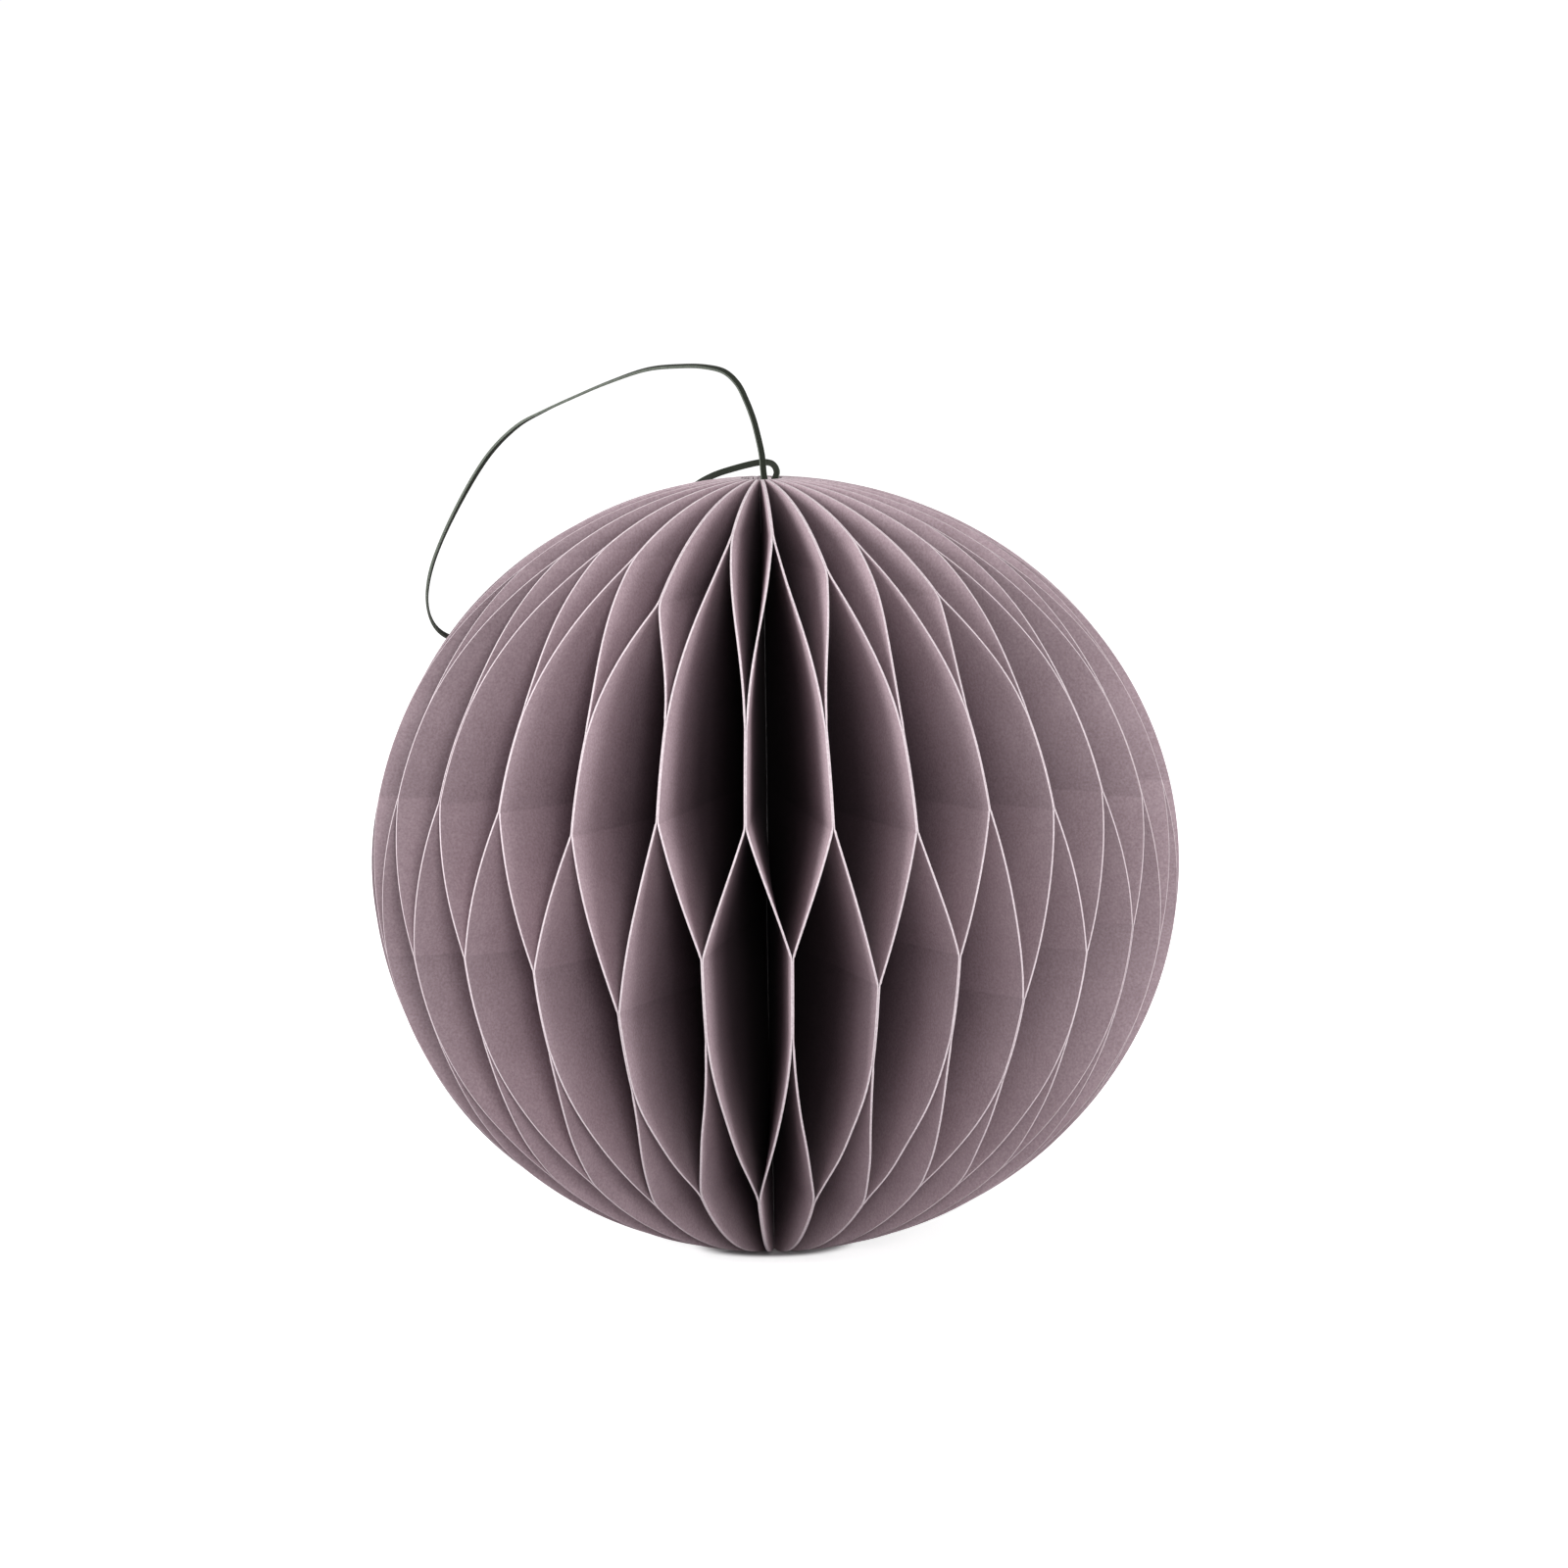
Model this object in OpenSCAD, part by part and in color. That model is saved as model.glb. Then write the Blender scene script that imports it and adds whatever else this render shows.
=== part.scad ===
// Honeycomb paper ball with a hanging loop.
// Half-round card leaves are glued to their neighbours in level bands, first on one side and
// then on the other, and fanned once round a spine of glue. The axis is +Z, the flat foot
// stands on z = 0 and the front faces -Y. All sizes are in millimetres.

/* [Ball] */
// Diameter of the opened ball at its widest level
ball_d = 100; // [80:1:160]
// Height of the leaf outline from pole to pole, before the foot is cut flat
ball_h = 96; // [94:1:130]
// Diameter of the flat foot that the leaf tips stand on
foot_d = 8; // [7:0.5:12]
// Width of the flat cut at the top of each leaf, outwards from its straight edge
pole_cut = 0.6; // [0.3:0.1:1.5]
// How far the spine stands to the left of the middle of the ball
spine_shift = 1; // [0:0.1:2]

/* [Leaves] */
// Number of card leaves, even because the two kinds of joint take turns
leaf_count = 56; // [48:2:56]
// Thickness of the card
card_t = 0.25; // [0.15:0.01:0.3]
// How unevenly the fan is opened, in degrees round the spine
fan_wave = 6.6; // [0:0.1:10]

/* [Glue bands] */
// Height of the middle of the upper band above the widest level
upper_band_z = 15.8; // [13:0.1:19]
// Height of the upper band
upper_band_h = 11; // [6:0.5:14]
// Depth of the middle of the lower band under the widest level
lower_band_z = 12.1; // [9:0.1:14]
// Height of the lower band
lower_band_h = 9.4; // [6:0.2:12]
// Height above the widest level at which the top joints begin
top_joint_z = 40; // [36:0.5:43]
// Depth under the widest level at which the bottom joints begin
bottom_joint_z = 36.7; // [33:0.1:40]
// Most that a joint of the upper band is glued too high or too low
upper_wander = 1.4; // [0:0.1:2]
// Most that a joint of the lower band is glued too high or too low
lower_wander = 4.6; // [0:0.1:5]

/* [Spine and loop] */
// Gap between the spine and the straight edges of the leaves
spine_clear = 0.02; // [0.01:0.01:0.1]
// Depth of the spine's upper end below the top of the leaves
spine_recess = 2.8; // [2:0.1:3.5]
// Width of the lace
lace_w = 0.8; // [0.5:0.05:0.9]
// Diameter of the knot that ties the loop at the pole
knot_d = 2.6; // [2.2:0.1:2.8]
// Length of the two lace ends that are set in the spine under the knot
tail_l = 5; // [2:0.5:20]
// Distance between the two lace ends
tail_gap = 1.1; // [1:0.1:1.3]
// Gap all round the lace where it goes into a socket
socket_clear = 0.03; // [0.01:0.01:0.1]

/* [Hidden] */
CARD = "#8f7b84";
GLUE = "#4a3f44";
LACE = "#2c2e28";
ball_r = ball_d / 2;
half_h = ball_h / 2;
joint_pitch = 360 / leaf_count;
// The tightest wedge between two joints sets how close to the axis the card can come
tight_wedge = joint_pitch * (1 - fan_wave * PI / 180);
leaf_in = card_t / (tight_wedge * PI / 180);
spine_r = leaf_in - spine_clear;
spine_x = lean(leaf_in).x;
equator_z = half_h * sqrt(1 - pow(foot_d / 2 / ball_r, 2));
top_z = half_h * sqrt(1 - pow((leaf_in + pole_cut) / ball_r, 2));
spine_top = equator_z + top_z - spine_recess;
// Turn of the whole fan, which puts one upper joint just left of the front
fan_turn = -100.4;
// Turn from the first joint back to the place where the fan's error is greatest
wave_turn = 15.5;
// Shape of a leaf as it springs off its glue: 1 is straight and 2 is a full bow
spring = 1.9;
// How high or low each joint in turn is glued, as a share of the wander, twice round the ball
UPPER_SHARE = [-0.15, -0.3, -0.85, 0.55, 0.05, 0.9, -0.3, 0.35, -0.4, 0.3, 0.65, 0.55, -1, 0.35];
LOWER_SHARE = [0.5, -0.3, 0.35, -1, 0.05, 0.5, -0.2, 0.3, -0.45, -0.1, 0.15, 0, -1, 0.5];
// Steps along the stretches of a leaf: cap, opening from a joint, glued band and crossing
CAP_STEPS = 4;
OPEN_STEPS = 5;
BAND_STEPS = 2;
CROSS_STEPS = 3;
// Centre of the knot, which sits on the end of the spine in the hollow of the pole, behind the
// middle of the spine and to its right
knot_right = 0.9;
knot_y = 0.4;
knot_x = spine_x + knot_right;
// Way of the loop from the knot up, over to the left, along the back and to the knot again
ROUTE = [
    [-0.55, 0.3, 95], [-0.7, 0.25, 96.6], [-0.85, 0.2, 98.5], [-1.25, 0.2, 100.6], [-1.85, 0.4, 103],
    [-2.7, 0.7, 105.3], [-3.7, 1, 107.3], [-5.3, 1.5, 108.8], [-7.6, 2, 109.4],
    [-10.4, 2.6, 109.5], [-14.8, 3.5, 109.1], [-19.6, 4.5, 107.5], [-24.1, 5.5, 105.6],
    [-27.8, 6.2, 103.9], [-31.3, 7, 101.9], [-35, 8, 98.1], [-38.8, 9, 91.9],
    [-41.7, 10, 85.7], [-42.8, 11, 81.2], [-42.5, 12.5, 77.8], [-41, 14.9, 75.5],
    [-38.3, 19.4, 74.2], [-34.3, 26.5, 73.6], [-29.2, 31.6, 74], [-23.4, 34.8, 75.6],
    [-17.8, 35.8, 78.2], [-13.1, 34.4, 81.6], [-10, 31.2, 85.4], [-8.3, 26.5, 88.9],
    [-9.3, 22.5, 90.9], [-9.8, 18, 92.5], [-9, 13.5, 93.9], [-6.8, 8.2, 95.5],
    [-4, 5.3, 96.6], [-1.3, 4.1, 97.3], [0, 3.1, 97.35], [0.65, 2.1, 97.05], [0.95, 1.2, 96.4],
    [0.8, 0.75, 95.75], [0.45, 0.5, 95]
];
LACE_SIDES = 8;
STEPS_PER_POINT = 2;

function leaf_name(i) = str("leaf_", i < 9 ? "0" : "", i + 1);

// Direction of the joint between leaf j - 1 and leaf j, in degrees round the axis
function joint_angle(j) =
    let (turn = j * joint_pitch)
    turn + fan_turn + fan_wave * cos(turn + wave_turn);

// Radius of the ball's outline at height z above its widest level
function outline_r(z) = ball_r * sqrt(max(0, 1 - pow(z / half_h, 2)));

// How far a point of the leaves goes to the left with the spine, by its distance from the spine
function lean(radius) = [-spine_shift * (1 - radius / ball_r), 0];

// Height of a joint's error, taken in turn from its list
function wander(share, most, j) = most * share[floor(j / 2) % len(share)];

// Stations down one leaf: height above the widest level, and how far the leaf has swung from
// its upper-band joint at 0 to its lower-band joint at 1
function stations(up, low) =
    let (
        top_open = top_joint_z + low,
        upper_top = upper_band_z + upper_band_h / 2 + up,
        upper_foot = upper_band_z - upper_band_h / 2 + up,
        lower_top = -lower_band_z + lower_band_h / 2 + low,
        lower_foot = -lower_band_z - lower_band_h / 2 + low,
        foot_open = -bottom_joint_z + up,
        cap_from = asin(top_z / half_h),
        cap_to = asin(top_open / half_h),
        base_from = asin(foot_open / half_h),
        base_to = -asin(equator_z / half_h)
    )
    concat(
        [for (k = [0 : CAP_STEPS - 1]) [half_h * sin(cap_from + (cap_to - cap_from) * k / CAP_STEPS), 1]],
        [for (k = [0 : OPEN_STEPS - 1]) let (u = k / OPEN_STEPS)
            [top_open + (upper_top - top_open) * u, pow(1 - u, spring)]],
        [for (k = [0 : BAND_STEPS - 1]) [upper_top + (upper_foot - upper_top) * k / BAND_STEPS, 0]],
        [for (k = [0 : CROSS_STEPS - 1]) let (u = k / CROSS_STEPS)
            [upper_foot + (lower_top - upper_foot) * u, u]],
        [for (k = [0 : BAND_STEPS - 1]) [lower_top + (lower_foot - lower_top) * k / BAND_STEPS, 1]],
        [for (k = [0 : OPEN_STEPS - 1]) let (u = k / OPEN_STEPS)
            [lower_foot + (foot_open - lower_foot) * u, 1 - pow(u, spring)]],
        [for (k = [0 : CAP_STEPS]) [half_h * sin(base_from + (base_to - base_from) * k / CAP_STEPS), 0]]
    );

// Four corners of a leaf's section at one station. The card lies wholly between its two joint
// planes, and where it is glued its face is in the plane that it shares with its neighbour.
function section(from, to, station, upper_first) =
    let (
        share = upper_first ? station[1] : 1 - station[1],
        angle = from + (to - from) * share,
        out = [cos(angle), sin(angle)],
        across = [-sin(angle), cos(angle)],
        near = -card_t * share,
        far = card_t * (1 - share),
        r = outline_r(station[0]),
        z = equator_z + station[0],
        corner = function(radius, side) concat(out * radius + across * side + lean(radius), z)
    )
    [corner(leaf_in, near), corner(r, near), corner(r, far), corner(leaf_in, far)];

// One half-round card leaf, curved by the glue on its two sides
module leaf(i) {
    upper_first = i % 2 == 0;
    upper_joint = upper_first ? i : i + 1;
    lower_joint = upper_first ? i + 1 : i;
    steps = stations(
        wander(UPPER_SHARE, upper_wander, upper_joint % leaf_count),
        wander(LOWER_SHARE, lower_wander, lower_joint));
    from = joint_angle(i);
    to = joint_angle(i + 1);
    points = [for (s = steps) each section(from, to, s, upper_first)];
    last = 4 * (len(steps) - 1);
    // Both faces of the card are split the same way, so that it keeps its thickness
    sides = [for (k = [0 : 4 : last - 4]) each [
        [k, k + 1, k + 5], [k, k + 5, k + 4],
        [k + 1, k + 2, k + 6], [k + 1, k + 6, k + 5],
        [k + 2, k + 3, k + 6], [k + 3, k + 7, k + 6],
        [k + 3, k, k + 4], [k + 3, k + 4, k + 7]]];
    color(CARD) polyhedron(points, concat([[3, 2, 1, 0]], sides, [[last, last + 1, last + 2, last + 3]]));
}

// Column of glue that holds the straight edges of all the leaves, with two sockets for the lace
module glue_spine() {
    color(GLUE) difference() {
        translate([spine_x, 0, 0]) cylinder(r = spine_r, h = spine_top, $fn = 48);
        tails(lace_w / 2 + socket_clear, spine_top + 1);
    }
}

// The two lace ends below the knot, or the holes for them
module tails(r, top) {
    for (side = [-1, 1])
        translate([knot_x + side * tail_gap / 2, knot_y, spine_top - tail_l])
            cylinder(r = r, h = top - spine_top + tail_l, $fn = 24);
}

// Hole from a point of the route along a direction, for the lace to go into the knot
module lace_hole(from, towards) {
    d = towards - from;
    translate(from)
        rotate([0, acos(d.z / norm(d)), atan2(d.y, d.x)])
            cylinder(r = lace_w / 2 + socket_clear, h = knot_d, $fn = 24);
}

// Knot of the lace, tied where the loop leaves the ball, with its two ends
module loop_knot() {
    last = len(ROUTE) - 1;
    color(LACE) difference() {
        union() {
            translate([knot_x, knot_y, spine_top + knot_d / 2]) rotate([90, 0, 0]) sphere(d = knot_d, $fn = 48);
            tails(lace_w / 2, spine_top + knot_d / 4);
        }
        lace_hole(ROUTE[0], ROUTE[1]);
        lace_hole(ROUTE[last], ROUTE[last - 1]);
    }
}

// Point between b and c on a smooth curve through a, b, c and d
function between(a, b, c, d, t) =
    b + (c - a) * t / 2 + (2 * a - 5 * b + 4 * c - d) * t * t / 2 + (3 * b - a - 3 * c + d) * t * t * t / 2;

// Smooth curve through the points of the route
function smooth(p, steps) =
    let (last = len(p) - 1, all = concat([2 * p[0] - p[1]], p, [2 * p[last] - p[last - 1]]))
    concat(
        [for (i = [0 : last - 1], k = [0 : steps - 1])
            between(all[i], all[i + 1], all[i + 2], all[i + 3], k / steps)],
        [p[last]]);

// Direction of the curve at each of its points
function headings(p) =
    [for (i = [0 : len(p) - 1])
        let (d = p[min(i + 1, len(p) - 1)] - p[max(i - 1, 0)])
        d / norm(d)];

// Sideways direction at each point, carried along the curve so that the tube doesn't twist
function carried(head, side, i = 0) =
    i == len(head) ? [] :
    let (flat = side - head[i] * (side * head[i]), next = flat / norm(flat))
    concat([next], carried(head, next, i + 1));

// Hanging loop of lace, from the knot round to the knot
module hanging_loop() {
    path = smooth(ROUTE, STEPS_PER_POINT);
    head = headings(path);
    side = carried(head, [0, 1, 0]);
    n = LACE_SIDES;
    points = [for (i = [0 : len(path) - 1], k = [0 : n - 1])
        path[i] + lace_w / 2 * (side[i] * cos(k * 360 / n) + cross(head[i], side[i]) * sin(k * 360 / n))];
    last = n * (len(path) - 1);
    walls = [for (i = [0 : n : last - n], k = [0 : n - 1])
        let (m = (k + 1) % n)
        each [[i + k, i + n + k, i + n + m], [i + k, i + n + m, i + m]]];
    ends = [[for (k = [0 : n - 1]) k], [for (k = [n - 1 : -1 : 0]) last + k]];
    color(LACE) polyhedron(points, concat(ends, walls));
}

for (i = [0 : leaf_count - 1])
    leaf(i);
glue_spine();
loop_knot();
hanging_loop();
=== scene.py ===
import math
import random
import bpy
from mathutils import Matrix, Vector


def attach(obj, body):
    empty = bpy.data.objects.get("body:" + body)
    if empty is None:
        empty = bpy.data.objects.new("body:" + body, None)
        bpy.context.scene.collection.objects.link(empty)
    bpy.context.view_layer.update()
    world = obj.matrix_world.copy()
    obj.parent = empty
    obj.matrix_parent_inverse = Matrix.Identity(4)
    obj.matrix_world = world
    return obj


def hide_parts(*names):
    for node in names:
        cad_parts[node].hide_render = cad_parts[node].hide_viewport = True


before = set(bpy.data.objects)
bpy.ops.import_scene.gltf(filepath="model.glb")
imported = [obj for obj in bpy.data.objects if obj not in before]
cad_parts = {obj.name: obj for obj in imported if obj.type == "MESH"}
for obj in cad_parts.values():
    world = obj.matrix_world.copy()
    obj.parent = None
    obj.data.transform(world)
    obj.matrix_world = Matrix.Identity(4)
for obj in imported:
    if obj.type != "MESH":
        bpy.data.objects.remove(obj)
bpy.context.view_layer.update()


def add_object(name, data):
    """A new object, linked into the scene."""
    made = bpy.data.objects.new(name, data)
    bpy.context.scene.collection.objects.link(made)
    return made


def from_hex(colour):
    """The linear colour of an sRGB hex value."""
    parts = [int(colour[k:k + 2], 16) / 255 for k in (1, 3, 5)]
    return [c / 12.92 if c <= 0.04045 else ((c + 0.055) / 1.055) ** 2.4 for c in parts] + [1]


def set_sockets(tree, node, sockets):
    """Give each named socket its value, or link it to the socket that stands in its place."""
    for name, value in sockets.items():
        if isinstance(value, bpy.types.NodeSocket):
            tree.links.new(value, node.inputs[name])
        else:
            node.inputs[name].default_value = value


def add_node(tree, kind, settings, sockets):
    """One shader node, with its settings, and its sockets either set or linked."""
    made = tree.nodes.new(kind)
    for name, value in settings.items():
        setattr(made, name, value)
    set_sockets(tree, made, sockets)
    return made


def new_material(name):
    """A material with a Principled shader, its node tree, and the place on the object."""
    made = bpy.data.materials.new(name)
    made.use_nodes = True
    place = add_node(made.node_tree, "ShaderNodeTexCoord", {}, {})
    return made, made.node_tree, place.outputs["Object"]


def grain(tree, place, size, detail, roughness=0.5):
    """Noise with grains of about the given size in metres."""
    noise = add_node(tree, "ShaderNodeTexNoise", {}, {
        "Vector": place, "Scale": 1 / size, "Detail": detail, "Roughness": roughness})
    return noise.outputs["Fac"]


def two_tones(tree, value, dark, light, dark_at=0, light_at=1):
    """The tone that a value picks between a dark and a light one."""
    ramp = add_node(tree, "ShaderNodeValToRGB", {}, {"Fac": value})
    first, last = ramp.color_ramp.elements
    first.position = dark_at
    first.color = from_hex(dark)
    last.position = light_at
    last.color = from_hex(light)
    return ramp.outputs["Color"]


def seen_by_camera(tree):
    """1 for what the camera sees, also in a mirror or through glass, and 0 for what only lights."""
    ray = add_node(tree, "ShaderNodeLightPath", {}, {})
    seen = add_node(tree, "ShaderNodeMath", {"operation": "MAXIMUM"}, {
        0: ray.outputs["Is Camera Ray"], 1: ray.outputs["Is Glossy Ray"]})
    seen = add_node(tree, "ShaderNodeMath", {"operation": "MAXIMUM"}, {
        0: seen.outputs["Value"], 1: ray.outputs["Is Transmission Ray"]})
    return seen.outputs["Value"]


# The photograph's view
# A long lens 1.2 m from the ball, a little above it and looking about 7 degrees down. The
# ball's top leans slightly to the left in the picture, so the camera is rolled by under a degree.
look_down = math.radians(7.15)
roll = math.radians(0.9)
distance = 1.2
ball_centre = Vector((0, 0, 0.04784))
picture_width = 0.1942    # what the picture's width spans at the ball, in metres
picture_pixels = 1600
middle_right = 9          # pixels from the ball's centre to the picture's middle
middle_up = 81
forward = Vector((0, math.cos(look_down), -math.sin(look_down)))
level = Vector((1, 0, 0))
upright = Vector((0, math.sin(look_down), math.cos(look_down)))
to_right = level * math.cos(roll) - upright * math.sin(roll)
to_top = level * math.sin(roll) + upright * math.cos(roll)
camera = add_object("photo_camera", bpy.data.cameras.new("photo_camera"))
camera.matrix_world = Matrix.Translation(ball_centre - forward * distance) @ Matrix((
    (to_right.x, to_top.x, -forward.x),
    (to_right.y, to_top.y, -forward.y),
    (to_right.z, to_top.z, -forward.z))).to_4x4()
camera.data.sensor_width = 36
camera.data.lens = camera.data.sensor_width * distance / picture_width
camera.data.shift_x = middle_right / picture_pixels
camera.data.shift_y = middle_up / picture_pixels
camera.data.clip_start = 0.01
camera.data.clip_end = 100
bpy.context.scene.camera = camera

# Hanging loop
# A flat lace cut from thin dyed suede, 0.8 mm wide and 0.35 mm thick. It leaves the knot at the
# pole, stands up in an arch to the left, turns slowly on itself, and comes back behind the ball.
lace_width = 0.0008
lace_thickness = 0.00035
lace_steps = 8            # points of the fine line for each one of the route
lace_route = [Vector(p) / 1000 for p in (
    (-0.55, 0.3, 95), (-0.7, 0.25, 96.6), (-0.85, 0.2, 98.5), (-1.25, 0.2, 100.6), (-1.85, 0.4, 103),
    (-2.7, 0.7, 105.3), (-3.7, 1, 107.3), (-5.3, 1.5, 108.8), (-7.6, 2, 109.4),
    (-10.4, 2.6, 109.5), (-14.8, 3.5, 109.1), (-19.6, 4.5, 107.5), (-24.1, 5.5, 105.6),
    (-27.8, 6.2, 103.9), (-31.3, 7, 101.9), (-35, 8, 98.1), (-38.8, 9, 91.9),
    (-41.7, 10, 85.7), (-42.8, 11, 81.2), (-42.5, 12.5, 77.8), (-41, 14.9, 75.5),
    (-38.3, 19.4, 74.2), (-34.3, 26.5, 73.6), (-29.2, 31.6, 74), (-23.4, 34.8, 75.6),
    (-17.8, 35.8, 78.2), (-13.1, 34.4, 81.6), (-10, 31.2, 85.4), (-8.3, 26.5, 88.9),
    (-9.3, 22.5, 90.9), (-9.8, 18, 92.5), (-9, 13.5, 93.9), (-6.8, 8.2, 95.5),
    (-4, 5.3, 96.6), (-1.3, 4.1, 97.3), (0, 3.1, 97.35), (0.65, 2.1, 97.05), (0.95, 1.2, 96.4),
    (0.8, 0.75, 95.75), (0.45, 0.5, 95))]
# Which way the broad side faces at some points of the route, counted from 0 at the knot
lace_facing = [
    (0, (0.3, -1, 0.1)), (5, (0.5, -0.8, 0.25)), (9, (0.05, -0.35, 0.94)), (12, (-0.35, 0.02, 0.93)),
    (15, (-0.55, 0.55, 0.5)), (17, (-0.9, 0.3, 0.1)), (19, (-0.95, -0.02, -0.2)), (21, (-0.8, 0.1, -0.5)),
    (24, (-0.5, 0.75, -0.2)), (27, (-0.1, 0.8, 0.6)), (29, (0, 0.4, 0.9)), (31.5, (0.5, 0.8, 0.15)),
    (34, (0.61, 0.78, -0.11)), (36, (0.48, 0.57, -0.66)), (39, (-0.05, 0.94, -0.27))]
# The lace's rounded section, in shares of its width and thickness, and which of the twelve strips
# between its corners are the narrow sides
lace_section = [(-0.5, -0.22), (-0.44, -0.46), (-0.2, -0.5), (0.2, -0.5), (0.44, -0.46), (0.5, -0.22),
                (0.5, 0.22), (0.44, 0.46), (0.2, 0.5), (-0.2, 0.5), (-0.44, 0.46), (-0.5, 0.22)]
narrow_sides = (0, 4, 5, 6, 10, 11)


def smooth_line(points, steps):
    """Points along a smooth curve through the given ones."""
    ends = [2 * points[0] - points[1]] + points + [2 * points[-1] - points[-2]]
    line = []
    for i in range(len(points) - 1):
        a, b, c, d = ends[i:i + 4]
        for k in range(steps):
            t = k / steps
            line.append(b + (c - a) * t / 2 + (2 * a - 5 * b + 4 * c - d) * t * t / 2
                        + (3 * b - a - 3 * c + d) * t ** 3 / 2)
    return line + [points[-1]]


def side_at(spot):
    """Which way the lace's broad side faces at a spot of its route, turned evenly between the keys."""
    before = max(key for key in lace_facing if key[0] <= spot)
    after = min([key for key in lace_facing if key[0] >= spot], default=before)
    share = 0 if after[0] == before[0] else (spot - before[0]) / (after[0] - before[0])
    share = share * share * (3 - 2 * share)
    return Vector(before[1]).normalized().lerp(Vector(after[1]).normalized(), share)


def lace_piece(name, bands):
    """One object of flat bands with rounded edges. A band is its line, the way its broad side
    looks at each of its points, its width and its thickness."""
    around = len(lace_section)
    corners = []
    faces = []
    cut = []
    for line, facing, width, thickness in bands:
        base = len(corners)
        for i, place in enumerate(line):
            along = (line[min(i + 1, len(line) - 1)] - line[max(i - 1, 0)]).normalized()
            broad = (facing[i] - along * facing[i].dot(along)).normalized()
            side = along.cross(broad)
            corners += [place + side * a * width + broad * b * thickness for a, b in lace_section]
        for i in range(base, len(corners) - around, around):
            for k in range(around):
                m = (k + 1) % around
                faces.append([i + k, i + m, i + around + m, i + around + k])
                cut.append(k in narrow_sides)
        faces.append(list(range(base, base + around))[::-1])
        faces.append(list(range(len(corners) - around, len(corners))))
        cut += [True, True]
    mesh = bpy.data.meshes.new(name)
    mesh.from_pydata(corners, [], faces)
    for face in mesh.polygons:
        face.use_smooth = True
        # The narrow sides and the ends show the lace's cut edge
        face.material_index = int(cut[face.index])
    mesh.set_sharp_from_angle(angle=math.radians(50))
    mesh.materials.append(suede)
    mesh.materials.append(suede_edge)
    return add_object(name, mesh)


# Suede is buffed leather: its short nap swallows nearly all shine and catches a little light at a
# grazing angle. The nap is drawn at 0.12 mm, coarser than the real 0.05 mm, so that it shows.
suede, tree, place = new_material("dyed_suede")
nap = grain(tree, place, 0.00012, 3, 0.6)
worn = grain(tree, place, 0.004, 2)
rubbed = add_node(tree, "ShaderNodeMixRGB", {"blend_type": "SCREEN"}, {
    "Fac": worn, "Color1": two_tones(tree, nap, "#141711", "#292e26", 0.3, 0.75),
    "Color2": from_hex("#121410")})
rise = add_node(tree, "ShaderNodeBump", {}, {"Height": nap, "Strength": 0.5, "Distance": 0.00004})
set_sockets(tree, tree.nodes["Principled BSDF"], {
    "Base Color": rubbed.outputs["Color"], "Normal": rise.outputs["Normal"], "Roughness": 0.85, "IOR": 1.5,
    "Specular IOR Level": 0.15, "Sheen Weight": 0.05, "Sheen Roughness": 0.5})

# Where the lace was slit from the hide the dye hasn't gone in as deep, so the edge is greyer.
suede_edge, tree, place = new_material("slit_suede_edge")
nap = grain(tree, place, 0.00015, 3, 0.65)
rise = add_node(tree, "ShaderNodeBump", {}, {"Height": nap, "Strength": 0.6, "Distance": 0.00005})
set_sockets(tree, tree.nodes["Principled BSDF"], {
    "Base Color": two_tones(tree, nap, "#464b43", "#6f766c", 0.3, 0.7), "Normal": rise.outputs["Normal"],
    "Roughness": 0.85, "IOR": 1.5})

lace_line = smooth_line(lace_route, lace_steps)
lace_sides = [side_at(i / lace_steps) for i in range(len(lace_line))]
loop = lace_piece("hanging_lace", [(lace_line, lace_sides, lace_width, lace_thickness)])
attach(loop, "root")
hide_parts("hanging_loop")

# Knot at the pole
# The two ends of the same lace, drawn together into one small overhand knot. It sits in the
# hollow of the pole on the end of the glue spine, and the ends under it go down into the glue.
millimetre = 0.001
knot_centre = Vector((-0.00005, 0.0004, 0.09425))
knot_points = 72
knot_size = 0.28          # in mm: the small radius of the overhand curve
knot_depth = 0.476        # in mm: how far it weaves to the front and back
knot_drop = 0.05
end_apart = 0.55          # in mm: how far each end lies from the knot's middle
end_heights = (-0.3, -1, -2, -3, -4, -5, -6.2)
knot_line = []
for k in range(knot_points + 1):
    t = 2 * math.pi * k / knot_points
    knot_line.append(knot_centre + millimetre * Vector((
        knot_size * (math.sin(t) + 2 * math.sin(2 * t)),
        -knot_depth * math.sin(3 * t),
        knot_size * (math.cos(t) - 2 * math.cos(2 * t)) - knot_drop)))
knot_sides = [(p - knot_centre).normalized() for p in knot_line]
# Drawn tight, the lace is pressed a little narrower and thicker
knot_bands = [(knot_line, knot_sides, lace_width * 0.95, lace_thickness * 1.1)]
for side in (-1, 1):
    end = [knot_centre + millimetre * Vector((side * end_apart, 0, z)) for z in end_heights]
    knot_bands.append((end, [Vector((0, -1, 0))] * len(end), lace_width * 0.9, lace_thickness))
knot = lace_piece("lace_knot", knot_bands)
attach(knot, "root")
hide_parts("loop_knot")

# Card leaves
# 56 half-round leaves of 0.25 mm card, dyed a dull mauve on both faces, with a pale core that
# shows at the cut edge. Each is glued to one neighbour in a level band above the middle and at
# the foot, and to the other in a band below the middle and at the top, and so it curves.

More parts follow.
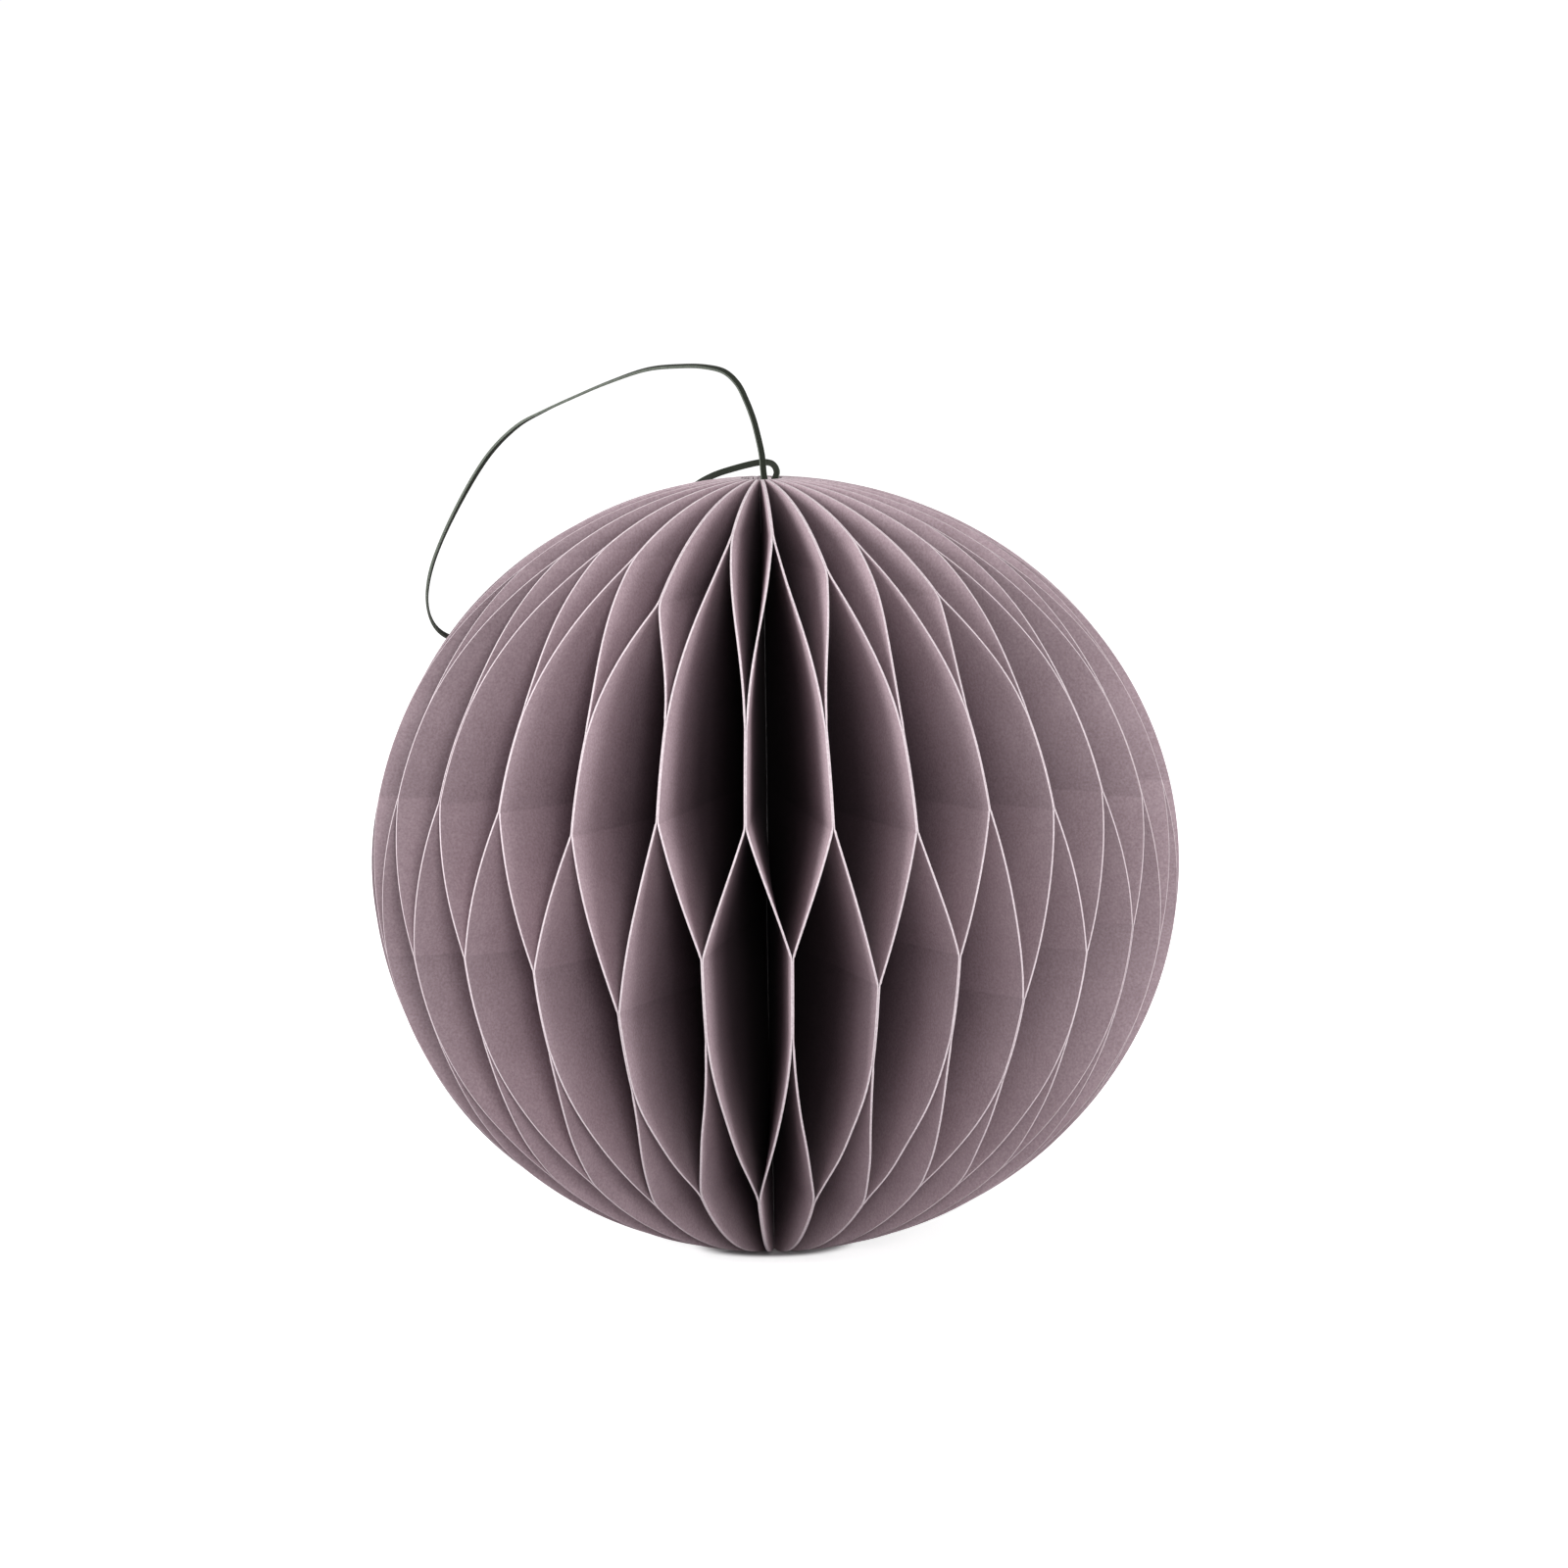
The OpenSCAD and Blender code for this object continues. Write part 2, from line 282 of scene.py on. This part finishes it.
# Sizes are in millimetres and angles in degrees here, and heights count from the widest level
ball_r = 50
half_h = 48
foot_r = 4
pole_cut = 0.6
leaf_count = 56
card_t = 0.25
fan_wave = 6.6
fan_turn = -100.4
wave_turn = 15.5
spine_shift = 1
spring = 1.9
upper_band_z = 15.8
upper_band_h = 11
upper_wander = 1.4
lower_band_z = 12.1
lower_band_h = 9.4
lower_wander = 4.6
top_joint_z = 40
bottom_joint_z = 36.7
upper_share = [-0.15, -0.3, -0.85, 0.55, 0.05, 0.9, -0.3, 0.35, -0.4, 0.3, 0.65, 0.55, -1, 0.35]
lower_share = [0.5, -0.3, 0.35, -1, 0.05, 0.5, -0.2, 0.3, -0.45, -0.1, 0.15, 0, -1, 0.5]
joint_pitch = 360 / leaf_count
leaf_in = card_t / math.radians(joint_pitch * (1 - math.radians(fan_wave)))
equator_z = half_h * math.sqrt(1 - (foot_r / ball_r) ** 2)
top_z = half_h * math.sqrt(1 - ((leaf_in + pole_cut) / ball_r) ** 2)
round_off = 0.5           # height over which the card rounds off a change of direction
pinch = 0.3               # how much thinner the rims of two glued leaves are pressed, as a share
glued = 0.03              # a leaf less free than this lies against its neighbour
edge_bulge = 0.03         # how far the middle of the cut edge stands out
backed_fade = 14          # height over which a neighbour's backing fades out
backed_at_top = 0.6
leaf_rows = 116
leaf_columns = 7
rim_strip = 0.7           # width of the mesh's outermost column
end_rows = (-0.6, -0.1, 0.1, 0.6)    # extra rows of points round each end of a glued joint
end_gap = 0.7             # the other rows keep this far from it
first_seed = 500          # the first leaf's seed for its chance ripples


def half_r(z):
    """Radius of the ball's outline at a height."""
    return ball_r * math.sqrt(max(0, 1 - (z / half_h) ** 2))


def joint_angle(j):
    """Direction of the joint between leaf j - 1 and leaf j, in degrees round the axis."""
    turn = j * joint_pitch
    return turn + fan_turn + fan_wave * math.cos(math.radians(turn + wave_turn))


def band_ends(up, low):
    """Where a leaf's glued joints begin and end, from the top down, when its upper band lies
    higher than usual by up and its lower band by low."""
    return (top_joint_z + low,
            upper_band_z + upper_band_h / 2 + up,
            upper_band_z - upper_band_h / 2 + up,
            -lower_band_z + lower_band_h / 2 + low,
            -lower_band_z - lower_band_h / 2 + low,
            -bottom_joint_z + up)


def swing_at(z, ends):
    """How far a leaf has swung at a height, from its upper-band joint at 0 to its lower one at 1."""
    top_open, upper_top, upper_foot, lower_top, lower_foot, foot_open = ends
    if z >= top_open:
        return 1
    if z > upper_top:
        return (1 - (z - top_open) / (upper_top - top_open)) ** spring
    if z >= upper_foot:
        return 0
    if z > lower_top:
        return (z - upper_foot) / (lower_top - upper_foot)
    if z >= lower_foot:
        return 1
    if z > foot_open:
        return 1 - ((z - lower_foot) / (foot_open - lower_foot)) ** spring
    return 0


def backed_at(z, ends):
    """1 where a neighbour is stuck to the leaf's back, and less where one is near."""
    top_open, _, upper_foot, lower_top, _, _ = ends
    if z >= top_open:
        return backed_at_top
    if z >= upper_foot:
        return max(0, 1 - (z - upper_foot) / backed_fade)
    if z <= lower_top:
        return max(0, 1 - (lower_top - z) / backed_fade)
    return 0


def leaf_heights(ends):
    """Heights of a leaf's rows of points, from the top down, with more at the bands' ends."""
    high = math.asin(top_z / half_h)
    deep = -math.asin(equator_z / half_h)
    heights = [half_h * math.sin(high + (deep - high) * k / leaf_rows) for k in range(leaf_rows + 1)]
    heights = [z for z in heights if all(abs(z - end) > end_gap for end in ends)]
    heights += [end + step for end in ends for step in end_rows]
    return sorted(heights, reverse=True)


def card_leaf(i):
    """One leaf as a fine closed mesh: the first slot is its two faces, the second its cut edges.
    The attribute backed is what backed_at says, and depth is how far in from the rim a point
    lies, as a share of the ball's radius."""
    chance = random.Random(first_seed + i)
    upper_first = i % 2 == 0
    upper_joint = (i if upper_first else i + 1) % leaf_count
    lower_joint = i + 1 if upper_first else i
    ends = band_ends(upper_wander * upper_share[upper_joint // 2 % len(upper_share)],
                     lower_wander * lower_share[lower_joint // 2 % len(lower_share)])
    start = joint_angle(i)
    stop = joint_angle(i + 1)
    short = chance.uniform(0, 0.1)
    # Three faint ripples in the free stretches: radians per mm, phase, and height
    ripple = [(chance.uniform(0.25, 0.6), chance.uniform(0, 6.28), chance.uniform(0.02, 0.06))
              for _ in range(3)]
    heights = leaf_heights(ends)
    corners = []
    backed = []
    depth = []
    for z in heights:
        # The mean of nine heights close by rounds the swing off
        swing = sum(swing_at(z + round_off * (k / 4 - 1), ends) for k in range(9)) / 9
        share = swing if upper_first else 1 - swing
        angle = math.radians(start + (stop - start) * share)
        outward = Vector((math.cos(angle), math.sin(angle), 0))
        sideways = Vector((-outward.y, outward.x, 0))
        height = Vector((0, 0, equator_z + z))
        rim = half_r(z) - short
        free = 4 * swing * (1 - swing)    # 0 at a joint and 1 halfway between two
        rim_t = card_t * (1 - pinch) if free < glued else card_t
        near = []
        far = []
        for k in range(leaf_columns + 1):
            at_rim = k == leaf_columns
            radius = rim if at_rim else leaf_in + (rim - rim_strip - leaf_in) * k / (leaf_columns - 1)
            thick = rim_t if at_rim else card_t
            lift = sum(a * math.sin(f * radius + 0.4 * f * z + p) for f, p, a in ripple) * free
            lean = Vector((-spine_shift * (1 - radius / ball_r), 0, 0))
            near.append(outward * radius + sideways * (lift - thick * share) + height + lean)
            far.append(outward * radius + sideways * (lift + thick * (1 - share)) + height + lean)
            depth.append((rim - radius) / ball_r)
        middle = (near[-1] + far[-1]) / 2 + outward * edge_bulge
        corners += near + [middle] + far[::-1]
        backed += [backed_at(z, ends)] * (2 * leaf_columns + 3)
        depth += [0] + depth[-1 - leaf_columns:][::-1]

    # The rows' points are joined all round, and the two ends closed
    around = 2 * leaf_columns + 3
    last_row = (len(heights) - 1) * around
    faces = []
    for first in range(0, last_row, around):
        for k in range(around):
            m = (k + 1) % around
            faces.append([first + k, first + around + k, first + around + m, first + m])
    for first, turned in ((0, False), (last_row, True)):
        for k in range(leaf_columns):
            quad = [first + k, first + k + 1, first + around - 2 - k, first + around - 1 - k]
            faces.append(quad[::-1] if turned else quad)
        tip = [first + leaf_columns, first + leaf_columns + 1, first + leaf_columns + 2]
        faces.append(tip[::-1] if turned else tip)
    mesh = bpy.data.meshes.new("card_leaf")
    mesh.from_pydata([c / 1000 for c in corners], [], faces)
    edge_strips = (leaf_columns, leaf_columns + 1, around - 1)
    for n, face in enumerate(mesh.polygons):
        face.use_smooth = True
        face.material_index = 1 if n >= last_row or n % around in edge_strips else 0
    mesh.set_sharp_from_angle(angle=math.radians(40))
    for name, values in (("backed", backed), ("depth", depth)):
        mesh.attributes.new(name, "FLOAT", "POINT").data.foreach_set("value", values)
    return mesh


# Uncoated card, dyed and calendered: a dull face with a faint cloudiness from the pulp, and
# fibres that show as a fine fleck. The fleck is drawn at 0.3 mm, a few fibres wide.
card, tree, place = new_material("uncoated_dyed_card")
fleck = grain(tree, place, 0.0003, 3, 0.6)
cloud = grain(tree, place, 0.006, 2)
mottle = add_node(tree, "ShaderNodeMath", {"operation": "MULTIPLY_ADD"}, {0: cloud, 1: 0.25, 2: fleck})
tone = two_tones(tree, mottle.outputs["Value"], "#a08b92", "#bba7ae", 0.42, 0.82)
# The card lets a little light through, less where a neighbour is stuck to its back; that is put into its
# colour as painted shade over the glued bands. Deep in the cells towards the spine, where the leaves stand
# close together, the colour is darkened much further with painted shade, so its tone falls off there.
backed = add_node(tree, "ShaderNodeAttribute", {"attribute_name": "backed"}, {})
# Painted shade: a little darker where a neighbour backs the card, in place of light let through elsewhere
painted_backed_shade = add_node(tree, "ShaderNodeMapRange", {}, {
    "Value": backed.outputs["Fac"], "To Min": 1, "To Max": 0.87})
depth = add_node(tree, "ShaderNodeAttribute", {"attribute_name": "depth"}, {})
painted_inner_shade = add_node(tree, "ShaderNodeValToRGB", {}, {"Fac": depth.outputs["Fac"]})
painted_inner_shade.color_ramp.interpolation = "B_SPLINE"
painted_inner_shade.color_ramp.elements[0].color = (1, 1, 1, 1)
painted_inner_shade.color_ramp.elements[1].position = 0.62
painted_inner_shade.color_ramp.elements[1].color = (0.05, 0.038, 0.044, 1)
painted_inner_shade.color_ramp.elements.new(0.1).color = (0.87, 0.86, 0.865, 1)
painted_inner_shade.color_ramp.elements.new(0.2).color = (0.56, 0.525, 0.545, 1)
painted_inner_shade.color_ramp.elements.new(0.34).color = (0.19, 0.155, 0.175, 1)
shade = add_node(tree, "ShaderNodeVectorMath", {"operation": "SCALE"}, {
    0: painted_inner_shade.outputs["Color"], "Scale": painted_backed_shade.outputs["Result"]})
# The mottled tone, darkened by both painted shades
dyed = add_node(tree, "ShaderNodeVectorMath", {"operation": "MULTIPLY"}, {
    0: tone, 1: shade.outputs["Vector"]})
rise = add_node(tree, "ShaderNodeBump", {}, {"Height": fleck, "Strength": 0.35, "Distance": 0.00003})
set_sockets(tree, tree.nodes["Principled BSDF"], {
    "Base Color": dyed.outputs["Vector"], "Normal": rise.outputs["Normal"], "Roughness": 0.8, "IOR": 1.45,
    "Specular IOR Level": 0.3})

# The cut edge shows the card's undyed core, paler and rougher than its faces.
card_edge, tree, place = new_material("cut_card_edge")
fibre = grain(tree, place, 0.0004, 2, 0.6)
rise = add_node(tree, "ShaderNodeBump", {}, {"Height": fibre, "Strength": 0.3, "Distance": 0.00003})
set_sockets(tree, tree.nodes["Principled BSDF"], {
    "Base Color": two_tones(tree, fibre, "#c2b4b9", "#d7cbcf", 0.3, 0.7), "Normal": rise.outputs["Normal"],
    "Roughness": 0.9, "IOR": 1.45, "Specular IOR Level": 0.25})

for i in range(leaf_count):
    cad_name = "leaf_%02d" % (i + 1)
    leaf = add_object("card_" + cad_name, card_leaf(i))
    leaf.data.materials.append(card)
    leaf.data.materials.append(card_edge)
    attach(leaf, "root")
    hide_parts(cad_name)

# Glue spine
# A column of white craft glue in the middle, to which the straight edges of all the leaves are stuck. It has
# dried clear and is a little glossy; its near-black colour is painted shade, as dark as the painted shade on
# the card round it deep in the cells.
glue, tree, place = new_material("dried_craft_glue")
lump = grain(tree, place, 0.0012, 2)
rise = add_node(tree, "ShaderNodeBump", {}, {"Height": lump, "Strength": 0.6, "Distance": 0.0002})
set_sockets(tree, tree.nodes["Principled BSDF"], {
    "Base Color": two_tones(tree, lump, "#1d181b", "#2e272b"), "Normal": rise.outputs["Normal"],
    "Roughness": 0.38, "IOR": 1.48})
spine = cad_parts["glue_spine"]
for slot in spine.material_slots:
    slot.material = glue

# Floor and backdrop
# A white paper sweep, lit so evenly that only the ball's soft shadow shows on it, darkest under
# the foot. It throws up less light than its white would, because the ball's underside is dark.
reach = 9
floor_mesh = bpy.data.meshes.new("paper_sweep")
floor_mesh.from_pydata([(-reach, -reach, 0), (reach, -reach, 0), (reach, reach, 0), (-reach, reach, 0)],
                       [], [(0, 1, 2, 3)])
floor = add_object("paper_sweep", floor_mesh)
sweep = bpy.data.materials.new("white_paper_sweep")
sweep.use_nodes = True
tree = sweep.node_tree
tree.nodes.clear()
matte = add_node(tree, "ShaderNodeBsdfDiffuse", {}, {"Color": from_hex("#e4e3e4")})
bounce = add_node(tree, "ShaderNodeBsdfDiffuse", {}, {"Color": from_hex("#c8c6c8")})
# The glow fades out within about 1 cm of the foot's middle, where the contact shadow shows
foot_middle = (-0.0009, 0, 0)
place = add_node(tree, "ShaderNodeTexCoord", {}, {})
from_foot = add_node(tree, "ShaderNodeVectorMath", {"operation": "DISTANCE"}, {
    0: place.outputs["Object"], 1: foot_middle})
clear = add_node(tree, "ShaderNodeMapRange", {"interpolation_type": "SMOOTHSTEP"}, {
    "Value": from_foot.outputs["Value"], "From Min": 0.0072, "From Max": 0.0105,
    "To Min": 0, "To Max": 0.72})
glow = add_node(tree, "ShaderNodeEmission", {}, {"Color": (1, 1, 1, 1), "Strength": clear.outputs["Result"]})
both = add_node(tree, "ShaderNodeAddShader", {}, {0: matte.outputs["BSDF"], 1: glow.outputs["Emission"]})
mixed = add_node(tree, "ShaderNodeMixShader", {}, {
    "Fac": seen_by_camera(tree), 1: bounce.outputs["BSDF"], 2: both.outputs["Shader"]})
add_node(tree, "ShaderNodeOutputMaterial", {}, {"Surface": mixed.outputs["Shader"]})
floor.data.materials.append(sweep)

# White room
# The room round the ball is white and gives an even, soft light. The camera sees it as pure
# white, but it lights the ball with less than half of that, so the cells stay dark.
world = bpy.data.worlds.new("white_room")
bpy.context.scene.world = world
world.use_nodes = True
tree = world.node_tree
tree.nodes.clear()
room = add_node(tree, "ShaderNodeBackground", {}, {"Color": (1, 1, 1, 1), "Strength": 0.4})
white = add_node(tree, "ShaderNodeBackground", {}, {"Color": (1, 1, 1, 1), "Strength": 1})
mixed = add_node(tree, "ShaderNodeMixShader", {}, {
    "Fac": seen_by_camera(tree), 1: room.outputs["Background"], 2: white.outputs["Background"]})
add_node(tree, "ShaderNodeOutputWorld", {}, {"Surface": mixed.outputs["Shader"]})

# Lamps
# Two large soft boxes stand at the sides, the stronger one at the left, and a small one over the
# camera and right of it lights the faces that the ball's sides turn to the front.
for name, at, width, watts in (
        ("soft_box_left", (-1.15, -0.3, 0.55), 0.7, 18.5),
        ("soft_box_right", (1.05, -0.65, 0.38), 0.7, 10.5),
        ("soft_box_front", (0.15, -1.5, 0.36), 0.3, 8)):
    lamp_data = bpy.data.lights.new(name, "AREA")
    lamp_data.size = width
    lamp_data.energy = watts
    lamp = add_object(name, lamp_data)
    lamp.location = at
    lamp.rotation_euler = (ball_centre - Vector(at)).to_track_quat("-Z", "Y").to_euler()

bpy.context.scene.view_settings.view_transform = "Standard"
